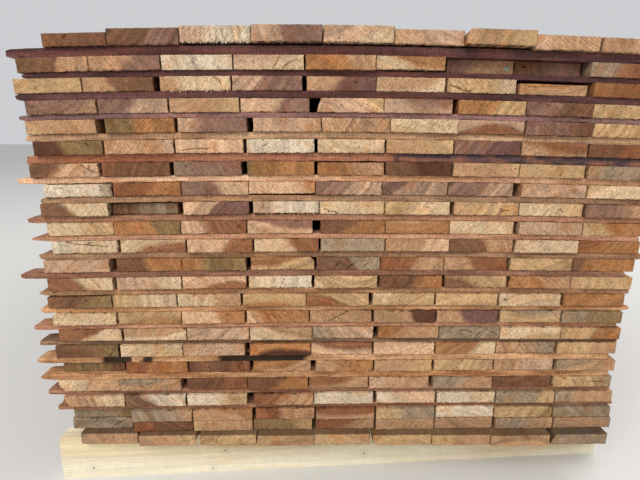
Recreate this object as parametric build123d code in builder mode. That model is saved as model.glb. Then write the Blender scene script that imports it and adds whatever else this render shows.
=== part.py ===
from build123d import *

# A pack of sawn hardwood boards, piled in layers on thin laths so that air can dry them, and
# carried on three softwood bearers. Millimetres. +X runs to the right along the board ends,
# +Y runs along the boards, away from the end that is looked at, and +Z is up.

import os
import random
from math import cos, radians, sin

os.makedirs("parts", exist_ok=True)

# Boards: one sawn size throughout, nine to a layer
BOARD_WIDTH = 125
BOARD_THICKNESS = 25
BOARD_LENGTH = 2400
BOARDS_IN_LAYER = 9
TIGHT_JOINT = 1  # between two boards pushed together
END_SCATTER = 3  # how far the board ends stray either way from one plane

# The boards in the middle of the pack are a hair thicker, so the layers arch up more and more
CROWN = 11  # how much higher the top of the pack is in its middle than at its sides
SEAT = 0.3  # between flat boards and the arched lath, or the boards, that lie on them
REST = 0.05  # between an arched lath and the flat boards that lie on it

# Laths: thin strips laid across the boards between two layers, in rows one above the other
LATH_THICKNESS = 12  # of most of them; LATH_EXTRAS gives the others
LATH_WIDTH = 38
LATH_LENGTH = 1200
LATH_TRIM = 12  # the most that one lath is shorter than another
LATH_ROWS = 5
LATH_INSET = 5  # from the plane of the board ends to the first row
LATH_SCATTER = 4  # how far a lath strays from its row
CLOSE_LAYERS = 2  # the lowest layers, which lie on each other with no laths above them

# Bearers: squared softwood, laid on edge under the pack
BEARER_WIDTH = 50
BEARER_HEIGHT = 96
BEARER_LENGTH = 1222
BEARER_OVERHANG = 27  # past the pack's left side
BEARER_INSET = 9  # from the plane of the board ends to the front bearer's nearer end
FRONT_BEARER_SKEW = 2.8  # degrees, the right-hand end further back
MIDDLE_BEARER_SKEW = -0.8
REAR_BEARER_SKEW = 1.2

# Each layer, from the top: where its first board starts, from the pack's left side, and the
# joints that stand open, each as the number of the board before it and how wide it is
LAYERS = [
    (46, {8: 4}),
    (-4, {2: 2, 3: 2, 4: 3, 6: 9, 7: 2, 8: 7}),
    (-11, {2: 12, 3: 3, 4: 8, 6: 4, 7: 7, 8: 13}),
    (5, {2: 3, 3: 2, 4: 14, 6: 11}),
    (-1, {1: 17, 2: 6, 3: 11, 8: 4}),
    (8, {1: 4, 2: 2, 3: 6, 4: 6, 5: 3, 6: 3, 7: 3, 8: 3}),
    (-4, {1: 6, 2: 7, 3: 11, 4: 6, 5: 3, 6: 3, 7: 2, 8: 6}),
    (17, {1: 3, 7: 17, 8: 2}),
    (7, {1: 2, 2: 13, 3: 7, 6: 9, 7: 3, 8: 3}),
    (13, {3: 2, 4: 15, 7: 11, 8: 3}),
    (17, {1: 5, 2: 4, 3: 3, 4: 4, 5: 2, 7: 5, 8: 2}),
    (-2, {1: 14, 3: 8, 4: 4, 6: 2, 7: 8, 8: 2}),
    (1, {1: 8, 2: 2, 3: 5, 4: 5, 5: 4, 6: 7, 7: 5}),
    (-5, {1: 2, 2: 2, 3: 5, 5: 8, 6: 3, 7: 4, 8: 9}),
    (1, {1: 3, 2: 2, 3: 4, 4: 2, 5: 5, 6: 3, 7: 6, 8: 2}),
    (7, {1: 5, 2: 2, 3: 2, 5: 10}),
    (-2, {1: 5, 3: 10, 5: 4, 6: 3, 7: 2, 8: 5}),
    (3, {1: 7, 2: 3, 3: 7, 4: 10, 5: 3, 6: 5, 7: 3, 8: 6}),
    (-6, {2: 12, 4: 2, 5: 2, 6: 9, 7: 3, 8: 5}),
    (1, {2: 3, 3: 15, 5: 8, 6: 4, 7: 2, 8: 3}),
    (9, {1: 4, 2: 2, 3: 7, 4: 3, 5: 4, 6: 4, 7: 2, 8: 2}),
    (6, {1: 8, 3: 2, 4: 8, 5: 4, 6: 2, 7: 6, 8: 4}),
    (28, {1: 5, 2: 9, 3: 3, 5: 5, 8: 5}),
]

# How far the front lath under each layer sticks out past the pack's left side, from the top
LATH_OVERHANGS = [24, 0, 13, 14, 9, 13, 34, -5, 26, 21, 13, 51, 23, 26, 42, 37, 45, 42, 36, 19]

# How much thicker than LATH_THICKNESS the laths at each level are, from the top
LATH_EXTRAS = [4, -2, -0.5, -3, 0, 3, -0.5, -0.5, -0.5, -2, 0, -0.5, -0.5, -1, -2, -3, 0.5, 1.5, -0.5, -2.5]

# Boards that differ from the rest, by layer and number: less wide, less thick (or, below zero,
# thicker), and set back from the plane of the ends (or, below zero, standing proud of it)
NARROWER = {(1, 1): 15, (1, 8): 7, (3, 1): 7, (4, 5): 4, (18, 4): 6, (18, 5): 6, (18, 6): 5}
NARROWER |= {(23, 1): 6, (23, 2): 6, (23, 3): 6, (23, 4): 6, (23, 5): 6, (23, 9): 5}
THINNER = {(1, 1): 3, (3, 8): 6, (7, 5): 2, (8, 1): 1.5, (9, 2): 3, (14, 1): 2}
THINNER |= {(1, 2): -3, (1, 3): -6, (1, 4): -7, (1, 5): -7, (1, 6): -3, (1, 7): -5}
SET_BACK = {(2, 7): 25, (2, 8): 28, (9, 2): 15, (18, 1): 12, (21, 1): 19, (22, 1): 12}
SET_BACK |= {(1, 7): -8, (22, 7): -3, (22, 8): -5, (22, 9): -5}
SET_BACK |= {(23, 1): -6, (23, 2): -13, (23, 3): -15, (23, 4): -15, (23, 5): -18}
SET_BACK |= {(23, 6): -19, (23, 7): -23, (23, 8): -26, (23, 9): -25}

# Boards whose front end curls up off the lath: how high, and over how much of the length
LIFTED = {(1, 3): 4, (1, 4): 4, (1, 5): 4, (1, 6): 3, (1, 7): 4, (2, 6): 2, (8, 4): 2.5, (9, 4): 3}
LIFT_RUN = 500

# Wane, where the log's round left a board short of a corner: side, level, then how much of the
# width and of the thickness is gone at the front end, and how far back it runs out
WANE = {
    (1, 7): (Align.MIN, Align.MAX, 10, 12, 900),
    (4, 5): (Align.MIN, Align.MAX, 7, 20, 1400),
    (6, 9): (Align.MAX, Align.MIN, 12, 9, 1100),
    (10, 1): (Align.MIN, Align.MIN, 6, 7, 700),
    (12, 4): (Align.MAX, Align.MAX, 8, 8, 900),
    (15, 1): (Align.MIN, Align.MAX, 5, 6, 800),
    (16, 1): (Align.MAX, Align.MAX, 7, 5, 1000),
    (16, 2): (Align.MAX, Align.MAX, 7, 4, 600),
    (19, 1): (Align.MIN, Align.MIN, 13, 15, 1700),
    (20, 1): (Align.MIN, Align.MIN, 11, 17, 1500),
    (23, 2): (Align.MAX, Align.MIN, 7, 12, 1300),
    (23, 6): (Align.MIN, Align.MIN, 9, 8, 900),
    (23, 9): (Align.MIN, Align.MAX, 8, 18, 1500),
}
RUN_OUT = 0.05  # the share of a wane or a lift left where it ends

layer_count = len(LAYERS)
lath_levels = layer_count - 1 - CLOSE_LAYERS


def lath_thickness(level):
    """How thick the laths under a layer are."""
    return LATH_THICKNESS + LATH_EXTRAS[level - 1]


def layer_bottom(layer):
    """Height of the underside of a layer at the pack's sides, counted from the top."""
    layers_below = layer_count - layer
    laths_below = sum(lath_thickness(level) + REST for level in range(layer, lath_levels + 1))
    return BEARER_HEIGHT + layers_below * (BOARD_THICKNESS + SEAT) + laths_below


pack_width = BOARDS_IN_LAYER * (BOARD_WIDTH + TIGHT_JOINT)
stack_height = layer_bottom(1) + BOARD_THICKNESS - BEARER_HEIGHT


def arched(height, x):
    """A height at the pack's sides, raised by the crown at x from the pack's left side."""
    off_centre = 2 * x / pack_width - 1
    return height + CROWN * (height - BEARER_HEIGHT) / stack_height * (1 - off_centre**2)


def scatter(seed, most):
    """The same small stray each time for the same piece."""
    return random.Random(seed).uniform(-most, most)


# Where each board and lath lies, with x from the pack's left side and y from the end plane
boards = []
for layer, (first_left, open_joints) in enumerate(LAYERS, start=1):
    left = first_left
    for board in range(1, BOARDS_IN_LAYER + 1):
        width = BOARD_WIDTH - NARROWER.get((layer, board), 0)
        front = SET_BACK.get((layer, board), 0) + scatter(f"board {layer} {board}", END_SCATTER)
        boards.append((layer, board, left, width, front))
        left += width + open_joints.get(board, TIGHT_JOINT)

row_spacing = (BOARD_LENGTH - LATH_WIDTH - 2 * LATH_INSET) / (LATH_ROWS - 1)
laths = []
for row in range(1, LATH_ROWS + 1):
    for level, front_overhang in enumerate(LATH_OVERHANGS[:lath_levels], start=1):
        name = f"lath {row} {level}"
        overhang = front_overhang if row == 1 else front_overhang + scatter(name, LATH_TRIM)
        length = LATH_LENGTH - abs(scatter(name + " length", LATH_TRIM))
        front = LATH_INSET + (row - 1) * row_spacing + scatter(name + " front", LATH_SCATTER)
        laths.append((row, level, -overhang, length, front))

rear_bearer_depth = BEARER_WIDTH + BEARER_LENGTH * sin(radians(REAR_BEARER_SKEW))
bearers = {
    "bearer_front": (BEARER_INSET, FRONT_BEARER_SKEW),
    "bearer_middle": ((BOARD_LENGTH - BEARER_WIDTH) / 2, MIDDLE_BEARER_SKEW),
    "bearer_rear": (BOARD_LENGTH - BEARER_INSET - rear_bearer_depth, REAR_BEARER_SKEW),
}

# The origin is in the middle of the whole pack's box, on the ground
bearer_reach = BEARER_LENGTH * cos(radians(FRONT_BEARER_SKEW)) - BEARER_OVERHANG
leftmost = min([-BEARER_OVERHANG] + [left for _, _, left, _, _ in laths])
rightmost = max([bearer_reach] + [left + length for _, _, left, length, _ in laths])
frontmost = min(front for _, _, _, _, front in boards)
rearmost = max(front for _, _, _, _, front in boards) + BOARD_LENGTH
middle_x = (leftmost + rightmost) / 2
middle_y = (frontmost + rearmost) / 2


def board_outline(layer, left, width):
    """The end outline of a board as a function: millimetres across and up from its lower left
    corner give x and z. The board lies flat on the arch of its layer, so it tilts a little."""
    middle = left + width / 2
    bottom = layer_bottom(layer)
    rise = arched(bottom, left + width) - arched(bottom, left)
    tilt = rise / width

    def place(across, up):
        x = middle + (across - width / 2) * cos(tilt) - up * sin(tilt)
        z = arched(bottom, middle) + (across - width / 2) * sin(tilt) + up * cos(tilt)
        return x - middle_x, z

    return place


def outline_at(y, corners):
    """A flat outline across the boards, at y from the end plane."""
    with BuildSketch(Plane.XZ.offset(middle_y - y)) as outline:
        with BuildLine():
            Polyline(*corners, close=True)
        make_face()
    return outline.sketch


def sawn_board(place, front, width, thickness):
    """Adds one straight board: its end outline, run back along its length."""
    corners = [(0, 0), (width, 0), (width, thickness), (0, thickness)]
    extrude(outline_at(front, [place(*corner) for corner in corners]), amount=-BOARD_LENGTH)


def take_off(place, front, run, corners_at):
    """Cuts away a part that is whole at the front end and runs out along the board."""
    missing = []
    for y, share in ((front, 1), (front + run, RUN_OUT)):
        missing.append(outline_at(y, [place(*corner) for corner in corners_at(share)]))
    loft(missing, mode=Mode.SUBTRACT)


def take_off_wane(place, front, width, thickness, wane):
    """Cuts the bark edge off one long corner."""
    side, level, across, down, run = wane
    corner_u = 0 if side == Align.MIN else width
    corner_v = 0 if level == Align.MIN else thickness
    inward = across if side == Align.MIN else -across
    upward = down if level == Align.MIN else -down

    def corners_at(share):
        return [
            (corner_u, corner_v),
            (corner_u + share * inward, corner_v),
            (corner_u, corner_v + share * upward),
        ]

    take_off(place, front, run, corners_at)


def lift_end(place, front, width, lift):
    """Hollows the underside of a board towards its front end, where it curls up off the lath."""

    def corners_at(share):
        return [(0, 0), (width, 0), (width, share * lift), (0, share * lift)]

    take_off(place, front, LIFT_RUN, corners_at)


# Layers of boards, layer 1 at the top
for layer in range(1, layer_count + 1):
    name = f"layer_{layer:02d}"
    with BuildPart() as boards_of_layer:
        for _, board, left, width, front in [b for b in boards if b[0] == layer]:
            middle = left + width / 2
            top = arched(layer_bottom(layer) + BOARD_THICKNESS, middle)
            thickness = top - arched(layer_bottom(layer), middle) - THINNER.get((layer, board), 0)
            place = board_outline(layer, left, width)
            sawn_board(place, front, width, thickness)
            if (layer, board) in WANE:
                take_off_wane(place, front, width, thickness, WANE[layer, board])
            if (layer, board) in LIFTED:
                lift_end(place, front, width, LIFTED[layer, board])
    boards_of_layer.part.label = name
    export_step(boards_of_layer.part, f"parts/{name}.step")

# Laths, one node for each row that stands one above the other, row 1 at the front. Each is bent
# to the arch of the boards under it
for row in range(1, LATH_ROWS + 1):
    name = f"laths_row_{row}"
    with BuildPart() as laths_of_row:
        for _, level, left, length, front in [lath for lath in laths if lath[0] == row]:
            top = layer_bottom(level) - REST
            bottom = top - lath_thickness(level)
            upper, lower = (
                [(x - middle_x, arched(height, x)) for x in (left, left + length / 2, left + length)]
                for height in (top, bottom)
            )
            with BuildSketch(Plane.XZ.offset(middle_y - front)) as lath_side:
                with BuildLine():
                    ThreePointArc(*upper)
                    Line(upper[-1], lower[-1])
                    ThreePointArc(*lower)
                    Line(lower[0], upper[0])
                make_face()
            extrude(lath_side.sketch, amount=-LATH_WIDTH)
    laths_of_row.part.label = name
    export_step(laths_of_row.part, f"parts/{name}.step")

# Bearers, each turned a little about its own front left corner
for name, (front, skew) in bearers.items():
    with BuildPart() as bearer:
        with BuildSketch(Plane.XY):
            with Locations(Location((-BEARER_OVERHANG - middle_x, front - middle_y), skew)):
                Rectangle(BEARER_LENGTH, BEARER_WIDTH, align=(Align.MIN, Align.MIN))
        extrude(amount=BEARER_HEIGHT)
    bearer.part.label = name
    export_step(bearer.part, f"parts/{name}.step")
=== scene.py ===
import itertools
import math
import random

import bpy
import numpy as np
from mathutils import Matrix, Vector


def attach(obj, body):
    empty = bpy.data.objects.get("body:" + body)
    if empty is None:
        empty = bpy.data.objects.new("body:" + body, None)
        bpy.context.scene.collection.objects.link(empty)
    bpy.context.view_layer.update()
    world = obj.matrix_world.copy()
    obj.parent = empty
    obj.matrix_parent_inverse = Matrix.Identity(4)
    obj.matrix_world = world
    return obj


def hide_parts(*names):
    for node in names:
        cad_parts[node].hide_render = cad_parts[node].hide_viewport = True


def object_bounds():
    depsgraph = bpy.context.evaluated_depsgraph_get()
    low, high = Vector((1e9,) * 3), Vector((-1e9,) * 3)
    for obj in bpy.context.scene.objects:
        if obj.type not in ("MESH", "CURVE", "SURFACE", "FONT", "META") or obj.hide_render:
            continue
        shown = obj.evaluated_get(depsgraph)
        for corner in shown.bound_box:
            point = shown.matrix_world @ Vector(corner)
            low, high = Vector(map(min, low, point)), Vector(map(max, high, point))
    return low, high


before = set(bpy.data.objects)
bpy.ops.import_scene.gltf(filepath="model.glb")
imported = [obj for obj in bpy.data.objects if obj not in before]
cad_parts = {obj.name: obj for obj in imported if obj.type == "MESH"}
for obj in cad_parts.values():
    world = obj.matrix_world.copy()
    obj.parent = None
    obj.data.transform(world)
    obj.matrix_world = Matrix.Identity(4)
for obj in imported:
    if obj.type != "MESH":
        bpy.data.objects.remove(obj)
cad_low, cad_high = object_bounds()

MM = 0.001  # the frame is in metres


# Bearers. Three squared lengths of white softwood, laid on edge under the pack so that forks
# and slings can reach in. They are sawn, not planed: pale, straight in the grain, with a few
# small knots, faint saw lines across the faces and edges that are only a little bruised.

def linear(hex_colour):
    """An sRGB hex colour as the linear RGBA that a shader takes."""
    parts = [int(hex_colour[i:i + 2], 16) / 255 for i in (1, 3, 5)]
    return [p / 12.92 if p <= 0.04045 else ((p + 0.055) / 1.055) ** 2.4 for p in parts] + [1.0]


def add(tree, kind, links=None, **settings):
    """Adds a node: settings are its properties, links its inputs, each a socket or a value."""
    made = tree.nodes.new(kind)
    for name, value in settings.items():
        setattr(made, name, value)
    for name, value in (links or {}).items():
        if isinstance(value, bpy.types.NodeSocket):
            tree.links.new(value, made.inputs[name])
        else:
            made.inputs[name].default_value = value
    return made


def solids_of(node):
    """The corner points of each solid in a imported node, from left to right."""
    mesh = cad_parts[node].data
    places = np.array([v.co for v in mesh.vertices])
    keys = [tuple(p) for p in np.round(places * 1e5).astype(int)]
    group = {key: key for key in keys}

    def top(key):
        while group[key] != key:
            group[key] = group[group[key]]
            key = group[key]
        return key

    for face in mesh.polygons:
        corners = [keys[i] for i in face.vertices]
        for other in corners[1:]:
            group[top(other)] = top(corners[0])
    found = {}
    for key, place in zip(keys, places):
        found.setdefault(top(key), {})[key] = place
    solids = [np.array(list(f.values())) for f in found.values()]
    return sorted(solids, key=lambda s: (s[:, 0].min(), s[:, 2].min()))


HASH_PRIMES = (73856093, 19349663, 83492791)


def soft_noise(places, size, seed):
    """Smooth noise from -1 to 1 for each place, with features about size wide."""
    cells = np.asarray(places) / size + seed * 7.7
    base = np.floor(cells).astype(np.int64)
    part = cells - base
    part = part * part * (3 - 2 * part)
    total = np.zeros(len(cells))
    for corner in itertools.product((0, 1), repeat=cells.shape[1]):
        at = base + corner
        # Each corner of a cell gets its own number up to 2**32, the same in every run
        mixed = sum(at[:, k] * HASH_PRIMES[k] for k in range(len(corner)))
        mixed = (mixed ^ (mixed >> 7)) * 668265263 & 0xFFFFFFFF
        mixed = (mixed ^ (mixed >> 15)) * 2246822519 & 0xFFFFFFFF
        weight = np.prod(np.where(corner, part, 1 - part), axis=1)
        total += weight * (mixed / 2**31 - 1)
    return total


def rim_shares(cells):
    """The points round a bar's section, anticlockwise from its lower left as seen from its near end."""
    across, up = cells
    rim = [(i / across, 0.0) for i in range(across)] + [(1.0, j / up) for j in range(up)]
    rim += [(1 - i / across, 1.0) for i in range(across)] + [(0.0, 1 - j / up) for j in range(up)]
    return rim


def skin(sections):
    """A bar as one closed skin. Each section is a place along the bar and its cells across and up.
    The end sections are filled with grids. Where the cells change, fans join coarse to fine.
    Returns points as share across, place along and share up, the faces, and which are ends."""
    points, rings, faces, on_end = [], [], [], []
    for along, cells in sections:
        rings.append((cells, range(len(points), len(points) + 2 * sum(cells))))
        points += [(u, along, v) for u, v in rim_shares(cells)]

    def fill(cells, ring, along, flip):
        across, up = cells
        number = {}
        for i, j in itertools.product(range(across + 1), range(up + 1)):
            if j == 0:
                number[i, j] = ring[i]
            elif i == across:
                number[i, j] = ring[across + j]
            elif j == up:
                number[i, j] = ring[across + up + across - i]
            elif i == 0:
                number[i, j] = ring[2 * across + up + up - j]
            else:
                number[i, j] = len(points)
                points.append((i / across, along, j / up))
        for i, j in itertools.product(range(across), range(up)):
            loop = [number[i, j], number[i + 1, j], number[i + 1, j + 1], number[i, j + 1]]
            faces.append(loop[::-1] if flip else loop)
            on_end.append(True)

    for (near_cells, near), (far_cells, far) in zip(rings, rings[1:]):
        start = len(faces)
        if near_cells == far_cells:
            for r in range(len(near)):
                q = (r + 1) % len(near)
                faces.append([near[q], near[r], far[r], far[q]])
        else:
            near_is_fine = len(near) > len(far)
            fine, coarse = (near, far) if near_is_fine else (far, near)
            times = len(fine) // len(coarse)
            for r in range(len(coarse)):
                first, second = coarse[r], coarse[(r + 1) % len(coarse)]
                middle = (times + 1) // 2
                for m in range(times):
                    a, b = fine[r * times + m], fine[(r * times + m + 1) % len(fine)]
                    pivot = first if m < middle else second
                    faces.append([b, a, pivot] if near_is_fine else [pivot, a, b])
                turn = fine[(r * times + middle) % len(fine)]
                faces.append([turn, first, second] if near_is_fine else [second, first, turn])
        on_end += [False] * (len(faces) - start)
    fill(*rings[0], sections[0][0], False)
    fill(*rings[-1], sections[-1][0], True)
    return np.array(points), faces, on_end


class Piece:
    """Gathers bars into one mesh, with the values at each point that the wood materials read."""

    # log_place: from the pith, across, along the grain and up
    # saw_place: across the saw's lines, along them, and how deep they are
    # log_sizes: how far the heartwood reaches, how wide a growth band is, and a seed
    # grime: splits, soot and painted shade, darker streaks, and paint, each from 0 to 1
    # sapwood: its colour, and as alpha how strongly the growth bands show
    # heartwood: its colour, and as alpha half the width of its border
    kinds = {
        "log_place": ("FLOAT_VECTOR", "vector"),
        "saw_place": ("FLOAT_VECTOR", "vector"),
        "log_sizes": ("FLOAT_VECTOR", "vector"),
        "grime": ("FLOAT_VECTOR", "vector"),
        "sapwood": ("FLOAT_COLOR", "color"),
        "heartwood": ("FLOAT_COLOR", "color"),
    }

    def __init__(self, name):
        self.name = name
        self.count = 0
        self.points, self.faces, self.ends = [], [], []
        self.values = {kind: [] for kind in self.kinds}

    def gather(self, points, faces, on_end, **values):
        self.points.append(points)
        self.faces += [[self.count + i for i in face] for face in faces]
        self.ends += on_end
        for name, value in values.items():
            width = 4 if name in ("sapwood", "heartwood") else 3
            self.values[name].append(np.broadcast_to(np.asarray(value, float), (len(points), width)))
        self.count += len(points)

    def finish(self, end_material, side_material, slot, *nodes):
        mesh = bpy.data.meshes.new(self.name)
        mesh.from_pydata(np.concatenate(self.points).tolist(), [], self.faces)
        mesh.materials.append(end_material)
        mesh.materials.append(side_material)
        mesh.polygons.foreach_set("material_index", [0 if e else 1 for e in self.ends])
        for name, (kind, part) in self.kinds.items():
            attribute = mesh.attributes.new(name, kind, "POINT")
            attribute.data.foreach_set(part, np.concatenate(self.values[name]).astype(np.float32).ravel())
        made = bpy.data.objects.new(self.name, mesh)
        bpy.context.scene.collection.objects.link(made)
        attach(made, "root")
        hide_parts(*nodes)


PAINT = "#7FA79A"  # a grey-green dab on one board
KNOT_SPACING = 110 * MM


def sawn_wood(
    name, end, roughness, band_contrast, fibre_contrast, saw_contrast, saw_spacing, speckle, knots=False
):
    """Sawn wood, cut from a log whose pith lies along the piece. Growth bands run round the
    pith, and show as arcs on an end and as long figure on a face. Rough sawing leaves it matt."""
    material = bpy.data.materials.new(name)
    material.use_nodes = True
    tree = material.node_tree
    tree.nodes.clear()

    def value(kind, a, b=None, operation="MULTIPLY", part=0):
        inputs = {0: a} if b is None else {0: a, 1: b}
        return add(tree, kind, inputs, operation=operation).outputs[part]

    def maths(a, b=None, operation="MULTIPLY"):
        return value("ShaderNodeMath", a, b, operation)

    def vectors(a, b=None, operation="MULTIPLY"):
        return value("ShaderNodeVectorMath", a, b, operation)

    def spread(factor, low, high, start=0.3, stop=0.7, soft=False):
        links = {"Value": factor, "From Min": start, "From Max": stop, "To Min": low, "To Max": high}
        shape = "SMOOTHSTEP" if soft else "LINEAR"
        return add(tree, "ShaderNodeMapRange", links, interpolation_type=shape).outputs[0]

    def noise(place, size, detail=2.0, rough=0.5):
        links = {"Vector": place, "Scale": 1 / size, "Detail": detail, "Roughness": rough}
        return add(tree, "ShaderNodeTexNoise", links).outputs["Fac"]

    def attribute(called, part="Vector"):
        return add(tree, "ShaderNodeAttribute", attribute_name=called).outputs[part]

    place = attribute("log_place")
    sizes = add(tree, "ShaderNodeSeparateXYZ", {0: attribute("log_sizes")})
    heart_radius, band_width, seed = sizes.outputs
    grime = add(tree, "ShaderNodeSeparateXYZ", {0: attribute("grime")})
    dark, toned, paint = grime.outputs
    shift = add(tree, "ShaderNodeCombineXYZ", {"X": seed, "Y": seed, "Z": seed}).outputs[0]

    # Figure is long along the grain, so lengths are pressed together before the noise
    along = vectors(vectors(place, (1, 0.06, 1)), shift, "ADD")
    flat = vectors(place, (1, 0, 1))
    radius = value("ShaderNodeVectorMath", flat, None, "LENGTH", "Value")
    radius = maths(radius, spread(noise(along, 45 * MM), -8 * MM, 8 * MM, 0, 1), "ADD")

    # Heartwood up to its radius, with an edge that wavers; its alpha is half the edge's width
    border = attribute("heartwood", "Alpha")
    inside = maths(heart_radius, radius, "SUBTRACT")
    inside = maths(inside, spread(noise(along, 9 * MM, 3.0), -4 * MM, 4 * MM, 0, 1), "ADD")
    inside = spread(inside, 0, 1, maths(border, -1.0), border, soft=True)
    inside = maths(inside, toned, "MAXIMUM")
    links = {"Factor": inside, "A": attribute("sapwood", "Color"), "B": attribute("heartwood", "Color")}
    colour = add(tree, "ShaderNodeMix", links, data_type="RGBA").outputs["Result"]

    # Growth bands of uneven width. The alpha of the sapwood says how strongly they show
    links = {"X": maths(radius, band_width, "DIVIDE"), "Y": seed}
    bands = add(tree, "ShaderNodeCombineXYZ", links).outputs[0]
    banding = spread(noise(bands, 1.0, 1.0), -band_contrast, 0.7 * band_contrast)
    shade = maths(maths(banding, attribute("sapwood", "Alpha")), 1.0, "ADD")

    # Clouds of stain, lighter or darker and now and then redder
    shade = maths(shade, spread(noise(along, 55 * MM, 3.0, 0.6), 0.86, 1.12))
    redder = spread(noise(vectors(along, (0.3, 0.4, 0.2), "ADD"), 30 * MM, 2.0), 0, 1, 0.5, 0.72, soft=True)
    links = {"Factor": redder, "A": (1, 1, 1, 1), "B": (0.93, 0.79, 0.66, 1)}
    reddening = add(tree, "ShaderNodeMix", links, data_type="RGBA").outputs["Result"]
    colour = vectors(colour, reddening)

    # Saw marks: scored aslant on an end, each board its own depth, and square across on a face
    if end:
        saw = attribute("saw_place")
        scored, _, depth = add(tree, "ShaderNodeSeparateXYZ", {0: saw}).outputs
        streak = vectors(vectors(saw, (1, 0.09, 0)), shift, "ADD")
        fine = vectors(place, shift, "ADD")
        flecks = fine
    else:
        scored = add(tree, "ShaderNodeSeparateXYZ", {0: place}).outputs[1]
        streak = vectors(vectors(place, (0.06, 1, 0.06)), shift, "ADD")
        fine = vectors(vectors(place, (1, 0.035, 1)), shift, "ADD")
        flecks = vectors(vectors(place, (1, 0.3, 1)), shift, "ADD")
    streaks = noise(streak, 0.5 * saw_spacing, 2.0, 0.6)
    wobble = spread(noise(fine, 12 * MM), -3, 3, 0, 1)
    ridges = maths(maths(maths(scored, math.tau / saw_spacing), wobble, "ADD"), None, "SINE")
    score = maths(maths(ridges, 0.5), spread(streaks, -1, 1), "ADD")
    score = maths(maths(score, depth), saw_contrast) if end else maths(score, saw_contrast)
    shade = maths(shade, maths(score, 1.0, "ADD"))

    # Fibres on a face, and on an end their cut tips with a few dark vessels
    fibres = noise(fine, 1.6 * MM if end else 2.2 * MM, 3.0, 0.65)
    shade = maths(shade, spread(fibres, 1 - fibre_contrast, 1 + fibre_contrast))
    mottle = noise(vectors(flecks, (0.2, 0.9, 0.4), "ADD"), 6.5 * MM, 3.0, 0.7)
    shade = maths(shade, spread(mottle, 1 - 0.8 * fibre_contrast, 1 + 0.8 * fibre_contrast))
    vessels = noise(vectors(flecks, (0.7, 0.1, 0.5), "ADD"), 2.6 * MM, 1.0)
    shade = maths(shade, spread(vessels, 1.0, 1 - speckle, 0.56, 0.68))

    if knots:
        # Sparse round knots: a small brown heart inside a faint ring
        _, s, v = add(tree, "ShaderNodeSeparateXYZ", {0: place}).outputs
        face = add(tree, "ShaderNodeCombineXYZ", {"X": s, "Y": v}).outputs[0]
        links = {"Vector": face, "Scale": 1 / KNOT_SPACING}
        spots = add(tree, "ShaderNodeTexVoronoi", links, voronoi_dimensions="2D")
        reach = maths(spots.outputs["Distance"], KNOT_SPACING)
        shade = maths(shade, spread(reach, 0.5, 1.0, 1.5 * MM, 4.5 * MM, soft=True))
        ring = maths(maths(reach, -8 * MM, "ADD"), None, "ABSOLUTE")
        shade = maths(shade, spread(ring, 0.9, 1.0, 0.5 * MM, 2.5 * MM))

    # Splits and soot, and the painted shade in checks, round rims, on arrises and under the layers, darken
    # the wood up to nearly black, and paint covers it
    shade = maths(shade, spread(dark, 1.0, 0.06, 0.3, 0.8, soft=True))
    shade = add(tree, "ShaderNodeCombineXYZ", {"X": shade, "Y": shade, "Z": shade}).outputs[0]
    colour = vectors(colour, shade)
    links = {"Factor": paint, "A": colour, "B": linear(PAINT)}
    colour = add(tree, "ShaderNodeMix", links, data_type="RGBA").outputs["Result"]

    height = maths(fibres, maths(streaks, ridges, "ADD"), "ADD")
    links = {"Height": height, "Strength": 0.45, "Distance": 0.3 * MM}
    bump = add(tree, "ShaderNodeBump", links).outputs[0]
    links = {"Base Color": colour, "Roughness": roughness, "Specular IOR Level": 0.2, "Normal": bump}
    surface = add(tree, "ShaderNodeBsdfPrincipled", links)
    add(tree, "ShaderNodeOutputMaterial", {"Surface": surface.outputs[0]})
    return material


PINE_PALE, PINE_LATE = "#F3E8CC", "#E4D2AC"

# Pine as it comes off the saw: matt and creamy, with faint straight figure and small brown knots
pine_side = sawn_wood(
    "pine_sawn_face", end=False, roughness=0.8, band_contrast=0.07, fibre_contrast=0.07,
    saw_contrast=0.02, saw_spacing=9 * MM, speckle=0.0, knots=True,
)
# Its cross-cut ends: as pale and still more matt, with soft rings
pine_end = sawn_wood(
    "pine_sawn_end", end=True, roughness=0.85, band_contrast=0.12, fibre_contrast=0.06,
    saw_contrast=0.05, saw_spacing=6 * MM, speckle=0.0,
)


def evenly(length, step, cells):
    """Sections of a bar, evenly spaced, about a step apart."""
    count = max(2, round(length / step))
    return [(length * k / count, cells) for k in range(count + 1)]


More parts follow.
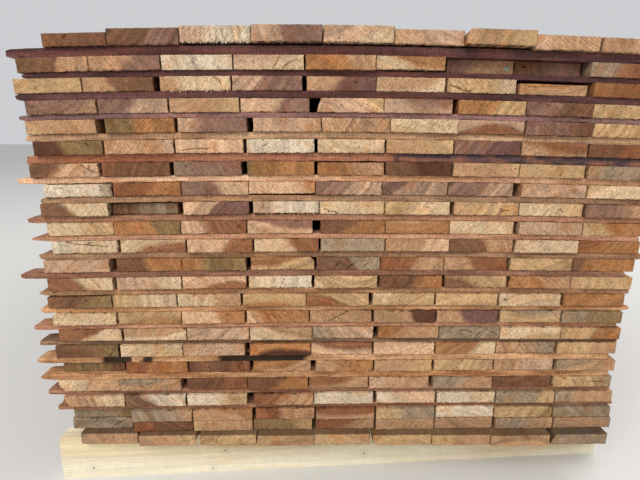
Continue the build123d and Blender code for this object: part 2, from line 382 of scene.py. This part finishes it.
def bearer(name, seed):
    """One bearer, in the place of its CAD solid, with a slightly uneven skin and bruised arrises."""
    draw = random.Random(seed)
    corners = solids_of(name)[0]
    low = corners[corners[:, 2] < corners[:, 2].min() + 1 * MM]
    left, right = low[low[:, 0].argmin()], low[low[:, 0].argmax()]
    front, back = low[low[:, 1].argmin()], low[low[:, 1].argmax()]
    # Turned one way the left corner is the nearer one of its end, turned the other the further
    start, far = (front, right) if front[0] < back[0] else (left, front)
    along = far - start
    across = (left - front) if front[0] < back[0] else (back - left)
    length, width = np.linalg.norm(along), np.linalg.norm(across)
    height = corners[:, 2].max() - corners[:, 2].min()
    shares, faces, on_end = skin(evenly(length, 10 * MM, (6, 10)))
    local = np.stack([shares[:, 0] * width, shares[:, 1], shares[:, 2] * height], axis=1)
    edge_u = np.minimum(local[:, 0], width - local[:, 0])
    edge_v = np.minimum(local[:, 2], height - local[:, 2])
    # Bruised arrises and a skin that is not quite flat, always inwards
    dent = 0.4 * MM * np.abs(soft_noise(local, 30 * MM, seed))
    on_arris = (edge_u < 1 * MM) & (edge_v < 1 * MM)
    dent += on_arris * 1.3 * MM * (0.4 + np.abs(soft_noise(local, 22 * MM, seed + 1)))
    inward_u = np.where(edge_u < 1 * MM, np.sign(width / 2 - local[:, 0]), 0) * dent
    inward_v = np.where((edge_v < 1 * MM) & (local[:, 2] > height / 2), -1, 0) * dent
    ragged = 1.5 * MM * (0.5 + 0.5 * soft_noise(local, 12 * MM, seed + 2))
    inward_s = np.select([local[:, 1] < 0.1 * MM, local[:, 1] > length - 0.1 * MM], [ragged, -ragged], 0)
    # Seen from its left end, a bearer's right side is its front, so the share across is turned round
    u = width - (local[:, 0] + inward_u)
    points = start + np.outer(u / width, across) + np.outer((local[:, 1] + inward_s) / length, along)
    points[:, 2] += local[:, 2] + inward_v
    pith = (width * draw.uniform(1.6, 2.4), height * draw.uniform(-0.6, 1.4))
    log_place = local - np.array((pith[0], 0, pith[1]))
    late = linear(PINE_LATE)[:3] + [20 * MM]
    piece = Piece(name + "_pine")
    piece.gather(
        points, faces, on_end, log_place=log_place, saw_place=local[:, [0, 2, 1]], grime=(0, 0, 0),
        sapwood=linear(PINE_PALE), heartwood=late, log_sizes=(70 * MM, 6 * MM, draw.uniform(0, 9)),
    )
    piece.finish(pine_end, pine_side, "pine_bearer", name)


for seed, name in enumerate(("bearer_front", "bearer_middle", "bearer_rear"), start=1):
    bearer(name, seed)


# Boards. Mixed reddish tropical hardwood, each sawn through a log and cross-cut to length with
# no planing. The ends face the eye: end grain in every shade from cream sapwood to plum
# heartwood, scored aslant by the saw, with torn lower edges, small checks and a few waney corners.

TONES = {
    "pale": "#D6C0A4",
    "cream": "#D3B48F",
    "peach": "#D2A985",
    "straw": "#C09B6F",
    "tan": "#B58B67",
    "pink": "#C09A7C",
    "orange": "#A77246",
    "rust": "#8C5839",
    "brown": "#765038",
    "umber": "#583425",
    "olive": "#896D48",
    "drab": "#9A836A",
    "mauve": "#896454",
    "plum": "#6E4A43",
}

# The boards of each layer from the left: sapwood and heartwood, and where the heartwood lies,
# < left, > right, ^ above or _ below. One tone alone is a board with no border in it
LAYERS = """
brown/rust mauve/brown> pink/pale pink/mauve> cream/pink^ tan/pink tan/straw> pink/tan tan/pink>
tan/brown< tan/mauve> pale cream/pink^ tan/orange< cream/orange^ mauve/tan> brown/mauve drab/rust>
straw/olive tan/brown> tan/cream mauve/pink> tan/plum> cream/tan cream/straw tan/orange^ rust/orange
tan/mauve pink/mauve< straw/tan peach/mauve> straw/pink pink/mauve orange/straw> brown/mauve< orange/straw
tan/straw olive/orange> mauve/pink tan/pink peach/tan cream/straw pink/rust_ brown/mauve orange/straw
umber/olive> tan/pink peach pale tan/cream straw/tan mauve/plum> tan/rust^ rust/brown
peach/brown< rust/brown drab/mauve orange/olive orange/tan brown/umber straw/tan straw/tan tan/drab
pale/drab orange/rust< peach/mauve< peach/orange pink/mauve pink/mauve pink/mauve tan/pink straw/cream
cream/brown< brown/drab peach/plum> pale/pink straw/cream cream/straw straw/tan straw/cream tan/mauve
cream/straw olive/orange< peach/rust> peach/mauve^ orange/brown orange/tan peach/cream tan/pink straw/orange>
cream/pale cream/rust_ peach/rust> cream/rust> drab/pink tan/peach tan/brown< peach/cream orange/rust
pink/cream orange/brown< orange/olive straw/orange^ drab/brown< tan/rust< tan/rust> straw/orange orange/brown
cream/rust< pink/cream peach/rust_ pale/cream cream/straw orange/brown< straw/brown tan/orange< straw/tan
olive/brown< cream/straw cream/tan> straw/orange_ straw/rust_ cream/straw straw/tan cream/tan orange/tan
straw/cream straw/orange_ peach/orange> peach/orange tan/brown tan/umber> tan/plum> straw/drab^ olive/drab
cream/rust^ cream/tan^ peach/pink cream/tan^ drab/pink> tan/orange drab cream/straw straw/orange>
olive/brown cream/straw pink/tan orange/umber_ peach/rust^ peach/cream cream/orange< tan/drab straw/tan
olive/brown orange/rust< rust/brown tan/orange^ tan/orange straw/tan< tan/straw tan/pink tan/drab
cream/tan> tan/drab^ rust/brown orange/brown^ tan/rust^ tan/pink drab/tan brown/umber drab/straw
cream/tan pale/brown< pale/straw tan/rust< pale/cream peach/pale pale/cream straw/drab drab/tan
drab/olive tan/drab orange/tan tan/rust tan/rust^ straw/drab pale/straw straw/olive drab/olive
drab/pale rust/brown straw/tan straw/olive tan/rust^ drab/tan drab/tan tan/drab drab/tan
tan/drab straw/tan tan/straw straw/tan tan/straw straw/olive tan/straw straw/tan drab/tan
""".strip().splitlines()

# Boards on which the growth bands stand out as broad dark waves
BANDED = {(1, 2), (3, 4), (8, 5), (8, 6), (8, 7)}
BANDED_PITH = (-150 * MM, 115 * MM)  # from the board's middle
BANDED_STRENGTH, BANDED_WIDTH = 2.4, 12 * MM

# The board with a dab of paint on its end
DABBED = (2, 7)

# Checks that opened as the ends dried, by layer and board: paths as shares across and up
CHECKS = {
    (2, 4): [[(0.55, 0.05), (0.62, 0.5), (0.66, 0.95)], [(0.7, 0.1), (0.78, 0.45), (0.9, 0.7)]],
    (2, 8): [[(0.12, 0.62), (0.16, 0.6)]],
    (3, 3): [[(0.76, 0.95), (0.84, 0.7), (0.86, 0.5)]],
    (3, 7): [
        [(0.04, 0.5), (0.14, 0.35), (0.24, 0.2), (0.36, 0.04)],
        [(0.2, 0.25), (0.3, 0.1), (0.34, 0.25)],
    ],
    (6, 3): [[(0.1, 0.22), (0.3, 0.35), (0.48, 0.3)]],
    (7, 1): [[(0.76, 0.85), (0.85, 0.5), (0.97, 0.3)], [(0.78, 0.25), (0.85, 0.5), (0.88, 0.8)]],
    (9, 5): [[(0.08, 0.4), (0.18, 0.2), (0.28, 0.1)], [(0.12, 0.15), (0.24, 0.22)]],
    (9, 6): [[(0.7, 0.92), (0.75, 0.86)], [(0.64, 0.6), (0.68, 0.55)]],
    (9, 7): [[(0.7, 0.1), (0.76, 0.35), (0.86, 0.42)], [(0.76, 0.35), (0.72, 0.55)]],
    (9, 8): [[(0.4, 0.1), (0.47, 0.5)], [(0.58, 0.15), (0.64, 0.6), (0.7, 0.3)]],
    (11, 1): [[(0.22, 0.9), (0.4, 0.7), (0.62, 0.6), (0.85, 0.5)], [(0.5, 0.65), (0.62, 0.85)]],
    (12, 5): [[(0.28, 0.1), (0.36, 0.6)], [(0.5, 0.15), (0.62, 0.7)], [(0.72, 0.2), (0.8, 0.5)]],
    (13, 4): [[(0.5, 0.08), (0.54, 0.5), (0.6, 0.95)]],
    (14, 8): [[(0.07, 0.55), (0.13, 0.5)], [(0.08, 0.62), (0.12, 0.42)], [(0.09, 0.45), (0.13, 0.6)]],
    (15, 5): [[(0.3, 0.05), (0.45, 0.5), (0.62, 0.95)]],
    (16, 7): [
        [(0.3, 0.65), (0.45, 0.75), (0.55, 0.5)],
        [(0.6, 0.1), (0.68, 0.6)],
        [(0.86, 0.6), (0.96, 0.3)],
    ],
    (17, 1): [[(0.86, 0.08), (0.92, 0.5), (0.97, 0.95)]],
    (19, 2): [[(0.33, 0.5), (0.42, 0.1)], [(0.45, 0.2), (0.5, 0.42)]],
    (19, 9): [[(0.62, 0.55), (0.74, 0.48), (0.86, 0.5)]],
    (22, 1): [[(0.66, 0.1), (0.76, 0.45), (0.95, 0.95)]],
}
CHECK_REACH, CHECK_DEPTH = 1.25 * MM, 2.5 * MM

# Ends whose lower edge was torn out by the saw, so that fibres hang from it: how many
FRAYED = {
    (1, 3): 26, (1, 4): 10, (1, 5): 26, (2, 6): 16, (3, 2): 8,
    (3, 3): 30, (8, 3): 8, (9, 4): 26, (13, 4): 8,
}

# The real saw lines stand 2 to 3 mm apart. They are drawn coarser, so that they hold at a distance
SAW_SPACING = 4.6 * MM

# End grain off a cross-cut saw: dull, with arcs of growth, slanting score lines and dark pores
hardwood_end = sawn_wood(
    "hardwood_sawn_end", end=True, roughness=0.85, band_contrast=0.2, fibre_contrast=0.23,
    saw_contrast=0.2, saw_spacing=SAW_SPACING, speckle=0.45,
)
# Faces off a rip saw: long streaks of figure and fibre under a faint washboard
hardwood_face = sawn_wood(
    "hardwood_sawn_face", end=False, roughness=0.8, band_contrast=0.15, fibre_contrast=0.13,
    saw_contrast=0.04, saw_spacing=14 * MM, speckle=0.15,
)

# Cells across and up: fine on the near end, which is seen close, and coarse along the board
NEAR_CELLS, LONG_CELLS, FAR_CELLS = (50, 10), (10, 2), (30, 6)


def board_sections(length):
    """Close sections near the ends, where nicks and tears are, and wide ones between."""
    near = [(s * MM, NEAR_CELLS) for s in (0, 1.5, 5, 14)]
    between = [(s * MM, LONG_CELLS) for s in (40, 150, 450, 800, 1150, 1500, 1850)]
    far = [(length - s * MM, FAR_CELLS) for s in (14, 3, 0)]
    return near + between + [(length - 40 * MM, LONG_CELLS)] + far


def end_chain(near, upper, width, height):
    """The upper or lower edge of a board's near end, as rows of across and up."""
    best, corner = (max if upper else min), 0.3 * MM
    chain = [(0.0, best(v for u, v in near if u < corner))]
    between = [(u, v) for u, v in near if corner < u < width - corner]
    chain += sorted((u, v) for u, v in between if (v > height / 2) == upper)
    chain.append((width, best(v for u, v in near if u > width - corner)))
    return np.array(chain)


def open_checks(points_u, points_v, checks, width, height):
    """Draws the nearest points of an end onto the checks. Returns the new places and the depth."""
    u, v, depth = points_u.copy(), points_v.copy(), np.zeros(len(points_u))
    for path in checks:
        path = np.array(path) * (width, height)
        for a, b in zip(path, path[1:]):
            share = ((u - a[0]) * (b - a)[0] + (v - a[1]) * (b - a)[1]) / ((b - a) @ (b - a))
            share = np.clip(share, 0, 1)
            on_u, on_v = a[0] + share * (b - a)[0], a[1] + share * (b - a)[1]
            close = np.hypot(u - on_u, v - on_v) < CHECK_REACH
            u, v = np.where(close, on_u, u), np.where(close, on_v, v)
            depth = np.where(close, CHECK_DEPTH, depth)
    return u, v, depth


def lie_in_log(draw, width, height, side):
    """Where the pith lay from the board's lower left corner, and how far the heartwood reached."""
    if side in "<>":
        far = draw.uniform(20, 90) * MM
        pith_u = -far if side == "<" else width + far
        pith_v = height / 2 + draw.choice((-1, 1)) * draw.uniform(0.5, 1.3) * (far + 40 * MM)
        reach = math.hypot(far + width * draw.uniform(0.4, 0.65), pith_v - height / 2)
    elif side in "^_":
        far = draw.uniform(100, 280) * MM
        pith_u = width * draw.uniform(-0.25, 1.25)
        pith_v = height + far if side == "^" else -far
        reach = math.hypot(far, pith_u - width / 2) + height * draw.uniform(0.35, 0.7)
    else:
        turn, far = draw.uniform(0, math.tau), draw.uniform(70, 200) * MM
        pith_u = width / 2 + 1.3 * far * math.cos(turn)
        pith_v = height / 2 + far * math.sin(turn)
        reach = math.hypot(pith_u - width / 2, pith_v - height / 2) + draw.uniform(-50, 50) * MM
    return pith_u, pith_v, reach


def hang_fibres(piece, draw, count, front, edge, place, width, **values):
    """Torn fibres that hang from the lower edge of an end, each a thin three-sided spike."""
    points, faces = [], []
    for _ in range(count):
        u, long = draw.uniform(0.03, 0.97) * width, draw.uniform(1, 4) * MM
        thick, v = draw.uniform(0.4, 1.0) * MM, edge(u)
        tip = (u + draw.uniform(-2, 2) * MM, -draw.uniform(0, 0.8) * MM, v - long)
        root = [(u + a, b, v + 0.8 * MM) for a, b in ((-thick, 0.2 * MM), (thick, 0.2 * MM), (0, 1.2 * MM))]
        start = len(points)
        points += [place(a, front + b, c) for a, b, c in root + [tip]]
        faces += [[start + i for i in face] for face in ((0, 3, 1), (1, 3, 2), (2, 3, 0), (0, 1, 2))]
    piece.gather(np.array(points), faces, [True] * len(faces), **values)


def board(piece, solid, draw, layer, number, shell):
    """One board, in the place and outline of its CAD solid, with the cut and the tears of its ends."""
    shares, faces, on_end = shell
    front, back = solid[:, 1].min(), solid[:, 1].max()
    length = back - front
    rear = solid[solid[:, 1] > back - 0.2 * MM][:, [0, 2]]
    rear = rear[rear[:, 0].argsort()]
    lower_left, upper_left = sorted(rear[:2], key=lambda p: p[1])
    lower_right = min(rear[-2:], key=lambda p: p[1])
    width = np.linalg.norm(lower_right - lower_left)
    height = np.linalg.norm(upper_left - lower_left)
    across, upward = (lower_right - lower_left) / width, (upper_left - lower_left) / height

    # The near end's outline, and how far back its wane and its lift run
    local = solid[:, [0, 2]] - lower_left
    local = np.stack([local @ across, solid[:, 1] - front, local @ upward], axis=1)
    near = [(u, v) for u, s, v in local if s < 0.2 * MM]
    lower, upper = (end_chain(near, up, width, height) for up in (False, True))
    between = local[(local[:, 1] > 1 * MM) & (local[:, 1] < length - 1 * MM)]
    runs = [between[(between[:, 2] > height / 2) == up][:, 1] for up in (False, True)]
    lower_run, upper_run = (run.max() if len(run) else 1.0 for run in runs)

    u, s = shares[:, 0] * width, shares[:, 1]
    low = np.interp(u, lower[:, 0], lower[:, 1]) * np.clip(1 - s / lower_run, 0, 1)
    gone = (height - np.interp(u, upper[:, 0], upper[:, 1])) * np.clip(1 - s / upper_run, 0, 1)
    v = low + shares[:, 2] * (height - gone - low)
    waney = np.where(shares[:, 2] < 0.5, low, gone)
    lift = min(lower[:, 1].min(), 5 * MM)
    waney = np.clip((waney - lift * (shares[:, 2] < 0.5)) / (4 * MM), 0, 1)

    # The saw's cut: a little out of square, scored, and torn along the rim, most at the bottom
    seed = draw.uniform(0, 9)
    lean = math.radians(draw.choice((-1, 1)) * draw.uniform(33, 56))
    saw_across = v * math.cos(lean) - u * math.sin(lean)
    saw_along = u * math.cos(lean) + v * math.sin(lean)
    tear = draw.choice((0.25, 0.4, 0.6, 1.0)) * MM
    tear = 0.9 * MM if (layer, number) in FRAYED else tear
    flat = np.stack([u, v + s], axis=1)
    end_gap = np.minimum(s, length - s)
    at_end = end_gap < 0.1 * MM
    at_front = at_end & (s < length / 2)
    side_u = (shares[:, 0] > 0.999).astype(float) - (shares[:, 0] < 0.001)
    side_v = (shares[:, 2] > 0.999).astype(float) - (shares[:, 2] < 0.001)
    on_rim = (side_u != 0) | (side_v != 0)
    rough = soft_noise(flat, 6 * MM, seed)
    cut = 0.5 * MM + 0.25 * MM * rough + 0.15 * MM * np.sin(saw_across / SAW_SPACING * math.tau)
    tilt = draw.uniform(-0.5, 0.5) * MM * (u / width - 0.5)
    tilt += draw.uniform(-0.4, 0.4) * MM * (v / height - 0.5)
    cut += tilt
    torn = tear * (0.7 + soft_noise(flat, 4 * MM, seed + 1))
    cut = np.clip(cut + on_rim * torn, 0.05 * MM, None)
    nick = np.clip(soft_noise(flat, 3.5 * MM, seed + 2) + 0.25, 0, 1)
    nick = nick * tear * np.clip(1 - end_gap / (9 * MM), 0, 1)
    rounding = 0.35 * MM * at_end
    u = u - side_u * (nick + rounding)
    v = v - side_v * (np.where(side_v < 0, 1.6, 0.8) * nick + rounding)

    checks = CHECKS.get((layer, number), [])
    if not checks and draw.random() < 0.3:
        a, b = draw.uniform(0.08, 0.9), draw.uniform(0.15, 0.85)
        checks = [[(a, b), (a + draw.uniform(-0.04, 0.04), b + draw.uniform(-0.3, 0.3))]]
    inner = at_front & ~on_rim
    drawn_u, drawn_v, depth = open_checks(u, v, checks, width, height)
    # The opened checks are painted dark: painted shade inside the cracks
    check_shade = 0.66 if (layer, number) in CHECKS else 0.5
    u, v = np.where(inner, drawn_u, u), np.where(inner, drawn_v, v)
    depth = np.where(inner, depth, 0)
    s = s + np.where(at_end, np.where(at_front, 1, -1) * (cut + depth), 0)

    def place(a, y, b):
        x, z = lower_left + a * across + b * upward
        return x, y, z

    flat_place = lower_left + np.outer(u, across) + np.outer(v, upward)
    points = np.stack([flat_place[:, 0], front + s, flat_place[:, 1]], axis=1)

    # Where the board lay in its log, and its two tones
    words = LAYERS[layer - 1].split()[number - 1]
    side = words[-1] if words[-1] in "<>^_" else "?"
    sap, _, heart = words.rstrip("<>^_").partition("/")
    pith_u, pith_v, heart_reach = lie_in_log(draw, width, height, side)
    banded = (layer, number) in BANDED
    if banded:
        # Waves that rise to the right belong to a pith far off to the upper left
        pith_u, pith_v = width / 2 + BANDED_PITH[0], height / 2 + BANDED_PITH[1]
        heart_reach = math.hypot(*BANDED_PITH) + draw.uniform(-15, 15) * MM
    light = draw.uniform(0.95, 1.06)
    sapwood = [c * light for c in linear(TONES[sap])[:3]]
    heartwood = [c * light for c in linear(TONES[heart or sap])[:3]]
    # The two tones shade into each other a little
    pairs = (sapwood, heartwood), (heartwood, sapwood)
    sapwood, heartwood = ([0.93 * a + 0.07 * b for a, b in zip(*pair)] for pair in pairs)
    sapwood.append(BANDED_STRENGTH if banded else draw.uniform(0.6, 1.6))
    heartwood.append(draw.uniform(4, 12) * MM if side != "?" else draw.uniform(8, 25) * MM)
    log_place = np.stack([u - pith_u, s, v - pith_v], axis=1)
    # Painted shade round each end's rim and over the long faces, where the boards meet and shade falls
    # between them, lighter on the upper and left edges that face the light
    rim_painted_shade = 0.5 + 0.3 * soft_noise(flat, 5 * MM, seed + 3) - 0.12 * ((side_v > 0) | (side_u < 0))
    dark = np.maximum(check_shade * (depth > 0), np.maximum(0.55 * waney, rim_painted_shade) * on_rim)
    if layer == len(LAYERS):
        # Painted shade from the layers above, with dust and weather, darkens the near part of the uncovered
        # top
        dark = np.maximum(dark, 0.62 * (side_v > 0) * np.clip((150 * MM - s) / (120 * MM), 0, 1))
    dab = 0 * u
    if (layer, number) == DABBED:
        dab = np.hypot(u / width - 0.9, (v / height - 0.45) / 4) < 0.035
    grime = np.stack([dark, 0 * u, dab * at_front], axis=1)
    values = {
        "sapwood": sapwood,
        "heartwood": heartwood,
        "log_sizes": (heart_reach, BANDED_WIDTH if banded else draw.uniform(5, 14) * MM, seed),
    }
    saw_place = np.stack([saw_across, saw_along, 0 * u + draw.choice((0.25, 0.5, 0.9, 1.3))], axis=1)
    piece.gather(points, faces, on_end, log_place=log_place, saw_place=saw_place, grime=grime, **values)
    if (layer, number) in FRAYED:
        def edge_at(a):
            return float(np.interp(a, lower[:, 0], lower[:, 1]))

        hang_fibres(
            piece, draw, FRAYED[layer, number], front, edge_at, place, width,
            log_place=(0, 0, 0), saw_place=(0, 0, 0), grime=(0, 0, 0), **values,
        )


board_shell = None
for layer, name in enumerate(sorted(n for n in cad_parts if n.startswith("layer_")), start=1):
    draw = random.Random(name)
    piece = Piece(name + "_boards")
    solids = solids_of(name)
    if board_shell is None:
        board_shell = skin(board_sections(np.ptp(solids[0][:, 1])))
    for number, solid in enumerate(solids, start=1):
        board(piece, solid, draw, layer, number, board_shell)
    piece.finish(hardwood_end, hardwood_face, "hardwood_board", name)


# Laths. Thin strips ripped from the same hardwood, laid across the boards in five rows. What
# shows is the sawn edge: long grain, maroon to peach, with nicks, splinters and broken ends.

# Each tone of lath: the wood between its streaks, and the streaks
LATH_TONES = {
    "maroon": ("#704641", "#503432"),
    "rose": ("#A0766F", "#80605A"),
    "peach": ("#D6AC86", "#AC8260"),
    "dusk": ("#AC7357", "#5A484A"),
    "fawn": ("#E8BA94", "#C69672"),
    "hazel": ("#B68D6C", "#916C50"),
    "russet": ("#B58364", "#8F634A"),
    "blush": ("#C69373", "#A17054"),
    "tan": ("#BD8E68", "#966D4D"),
    "chestnut": ("#A3745A", "#7E5643"),
    "honey": ("#D0A075", "#A2734C"),
    "dun": ("#927257", "#705540"),
}

# The front laths from the top, and the tones that the hidden rows draw from
LATHS = """
    maroon maroon maroon rose peach dusk fawn hazel russet blush
    hazel chestnut tan honey blush dun honey honey russet russet
""".split()
HIDDEN_LATHS = ("blush", "tan", "chestnut", "honey", "dun")

# Soot on one front lath, as stretches in mm from its left end, and where another turns purple
SOOT_LEVEL, SOOT = 17, ((134, 192), (213, 240), (366, 552))
PURPLE_LEVEL, PURPLE_FROM = 6, 680

# Front laths whose left tip is broken to a long taper, how long it is and what is left at the tip
TAPERED_LEVELS, LONG_TAPER, TIP_LEFT = (10, 13, 17, 18), 26 * MM, 0.3

# The laths' broken ends: dull short grain with a few pores
lath_end = sawn_wood(
    "hardwood_lath_end", end=True, roughness=0.85, band_contrast=0.12, fibre_contrast=0.12,
    saw_contrast=0.08, saw_spacing=SAW_SPACING, speckle=0.2,
)
# Their ripped edges: coarse long fibre, dark flecks and saw marks square across
lath_face = sawn_wood(
    "hardwood_lath_edge", end=False, roughness=0.8, band_contrast=0.12, fibre_contrast=0.24,
    saw_contrast=0.13, saw_spacing=7 * MM, speckle=0.36,
)


def lath(piece, solid, draw, tone, step, cells, level):
    """One lath, bent as its CAD solid is, with nicked edges and broken ends. Hidden ones are level 0."""
    low, high = solid.min(axis=0), solid.max(axis=0)
    length, width = high[0] - low[0], high[1] - low[1]
    # Bent to the arch of the boards: a curve through all the points parts its top from its bottom
    curve = np.polyval(np.polyfit(solid[:, 0], solid[:, 2], 2), solid[:, 0])
    edges = []
    for half in (solid[solid[:, 2] < curve], solid[solid[:, 2] > curve]):
        half = half[half[:, 0].argsort()]
        edges.append((half[:, 0], half[:, 2]))
    shares, faces, on_end = skin(evenly(length, step, cells))
    seed = draw.uniform(0, 9)
    s, w, q = shares[:, 1], width * (1 - shares[:, 0]), shares[:, 2]
    x = low[0] + s
    bottom, top = (np.interp(x, *edge) for edge in edges)
    # Broken ends, thinner towards the tip and ragged
    end_gap = np.minimum(s, length - s)
    near_left = s < length / 2
    tapers = [draw.uniform(5, 16) * MM, draw.uniform(5, 16) * MM]
    leaves = [draw.uniform(0.5, 0.95), draw.uniform(0.6, 0.95)]
    if level in TAPERED_LEVELS:
        tapers[0], leaves[0] = LONG_TAPER, TIP_LEFT
    taper, leave = (np.where(near_left, *pair) for pair in (tapers, leaves))
    thin = leave + (1 - leave) * np.sqrt(np.clip(end_gap / taper, 0, 1))
    q = 0.5 + (q - 0.5) * thin
    local = np.stack([w, s, q * (top - bottom)], axis=1)
    ragged = 4.5 * MM * (0.5 + 0.5 * soft_noise(local, 5 * MM, seed))
    x = x + np.where(end_gap < 0.1 * MM, np.where(near_left, 1, -1) * ragged, 0)
    z = bottom + q * (top - bottom)
    # Nicks and a rough edge, always inwards
    side_w = (w > width - 0.1 * MM).astype(float) - (w < 0.1 * MM)
    side_q = (shares[:, 2] > 0.999).astype(float) - (shares[:, 2] < 0.001)
    dent = 0.5 * MM * (0.6 + soft_noise(local, 22 * MM, seed + 1)) * (side_w != 0)
    arris = (side_w != 0) & (side_q != 0)
    dent += arris * 1.6 * MM * np.clip(soft_noise(local, 13 * MM, seed + 2), 0, 1)
    y = low[1] + w - side_w * np.clip(dent, 0.05 * MM, None)
    z = z - side_q * arris * 1.2 * MM * np.clip(soft_noise(local, 11 * MM, seed + 3), 0, 1)
    points = np.stack([x, y, z], axis=1)

    blotch = soft_noise(local * (1, 1, 0.4), 26 * MM, seed + 4)
    dark, toned = 0 * s, np.clip(0.5 + 0.8 * soft_noise(local * (1, 0.12, 1), 7 * MM, seed + 5), 0, 1)
    if level == SOOT_LEVEL:
        for start, stop in SOOT:
            middle, half = (start + stop) / 2 * MM, (stop - start) / 2 * MM
            patches = 0.7 * soft_noise(local * (1, 1, 0.6), 14 * MM, seed + 7)
            stained = 0.45 - (np.abs(s - middle) - half) / (14 * MM) + patches + 0.3 * blotch
            dark = np.maximum(dark, np.clip(stained, 0, 0.8))
        dark = np.where(w < 0.5 * width, dark, 0)
    # Painted shade along the arrises, where the lath meets the boards above and below it
    dark = np.maximum(dark, arris * (0.48 + 0.25 * soft_noise(local, 6 * MM, seed + 6)))
    if level == PURPLE_LEVEL:
        mixed = 1.3 * soft_noise(local * (1, 0.5, 1), 13 * MM, seed + 7)
        toned = np.clip((s - PURPLE_FROM * MM) / (60 * MM), 0, 0.85) + mixed * (s > PURPLE_FROM * MM)
        toned = np.clip(toned, 0, 1)
    main, streaks = (linear(tone) for tone in LATH_TONES[tone])
    log_place = local - np.array((-70 * MM, 0, draw.uniform(-50, 50) * MM))
    piece.gather(
        points, faces, on_end, log_place=log_place, saw_place=local[:, [0, 2, 1]],
        grime=np.stack([dark, toned, 0 * s], axis=1), sapwood=main, heartwood=streaks[:3] + [10 * MM],
        log_sizes=(0.0, 4 * MM, seed),
    )


rows = sorted(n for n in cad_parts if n.startswith("laths_row_"))
for row, name in enumerate(rows, start=1):
    draw = random.Random(name)
    piece = Piece(name + "_strips")
    step, cells = (10 * MM, (3, 6)) if row in (1, len(rows)) else (40 * MM, (2, 2))
    for level, solid in enumerate(sorted(solids_of(name), key=lambda s: -s[:, 2].max()), start=1):
        if row == 1:
            lath(piece, solid, draw, LATHS[level - 1], step, cells, level)
        else:
            lath(piece, solid, draw, draw.choice(HIDDEN_LATHS), step, cells, 0)
    piece.finish(lath_end, lath_face, "hardwood_lath", name)


# Studio. A plain pale floor under an even sky, one broad soft light from the upper left and a
# weaker one from behind on the right, and a camera 0.74 m up that looks down at the board ends.

floor_mesh = bpy.data.meshes.new("floor")
floor_mesh.from_pydata([(-30, -30, 0), (30, -30, 0), (30, 30, 0), (-30, 30, 0)], [], [(0, 1, 2, 3)])
floor = bpy.data.objects.new("floor", floor_mesh)
bpy.context.scene.collection.objects.link(floor)
floor_paint = bpy.data.materials.new("floor_matt_paint")
floor_paint.use_nodes = True
floor_paint.node_tree.nodes["Principled BSDF"].inputs["Base Color"].default_value = linear("#D8D6D2")
floor_paint.node_tree.nodes["Principled BSDF"].inputs["Roughness"].default_value = 0.9
floor_mesh.materials.append(floor_paint)

world = bpy.data.worlds.new("studio")
bpy.context.scene.world = world
world.use_nodes = True
world.node_tree.nodes["Background"].inputs["Color"].default_value = linear("#F2F4F7")
world.node_tree.nodes["Background"].inputs["Strength"].default_value = 0.68


def softbox(name, place, target, size, watts):
    lamp = bpy.data.lights.new(name, "AREA")
    lamp.shape = "RECTANGLE"
    lamp.size, lamp.size_y = size
    lamp.energy = watts
    made = bpy.data.objects.new(name, lamp)
    made.location = place
    made.rotation_euler = (Vector(target) - Vector(place)).to_track_quat("-Z", "Y").to_euler()
    bpy.context.scene.collection.objects.link(made)


front_y = cad_low[1]
softbox("key_softbox", (-1.8, front_y - 4.2, 5.2), (0, front_y, 0.4), (5.0, 3.6), 320)
softbox("rim_softbox", (4.5, 3.0, 5.5), (0, 0, 0.5), (5.0, 4.0), 230)

# Where the eye stood, from the pack's own corners: across, in front of the ends, and height
EYE = Vector((-65.5 * MM, -2048.95 * MM, 738.9 * MM))
YAW, PITCH, ROLL = (math.radians(a) for a in (1.63, 13.12, 0.36))
FOCAL_SHARE = 450 / 640  # focal length over the picture's width

forward = Vector((math.sin(YAW) * math.cos(PITCH), math.cos(YAW) * math.cos(PITCH), -math.sin(PITCH)))
level_right = Vector((math.cos(YAW), -math.sin(YAW), 0))
level_up = level_right.cross(forward)
right = math.cos(ROLL) * level_right + math.sin(ROLL) * level_up
upright = -math.sin(ROLL) * level_right + math.cos(ROLL) * level_up
camera_data = bpy.data.cameras.new("camera")
camera_data.sensor_width = 36
camera_data.lens = FOCAL_SHARE * camera_data.sensor_width
camera = bpy.data.objects.new("camera", camera_data)
camera.matrix_world = Matrix((
    (right.x, upright.x, -forward.x, EYE.x),
    (right.y, upright.y, -forward.y, EYE.y),
    (right.z, upright.z, -forward.z, EYE.z),
    (0, 0, 0, 1),
))
bpy.context.scene.collection.objects.link(camera)
bpy.context.scene.camera = camera
bpy.context.scene.view_settings.view_transform = "Standard"
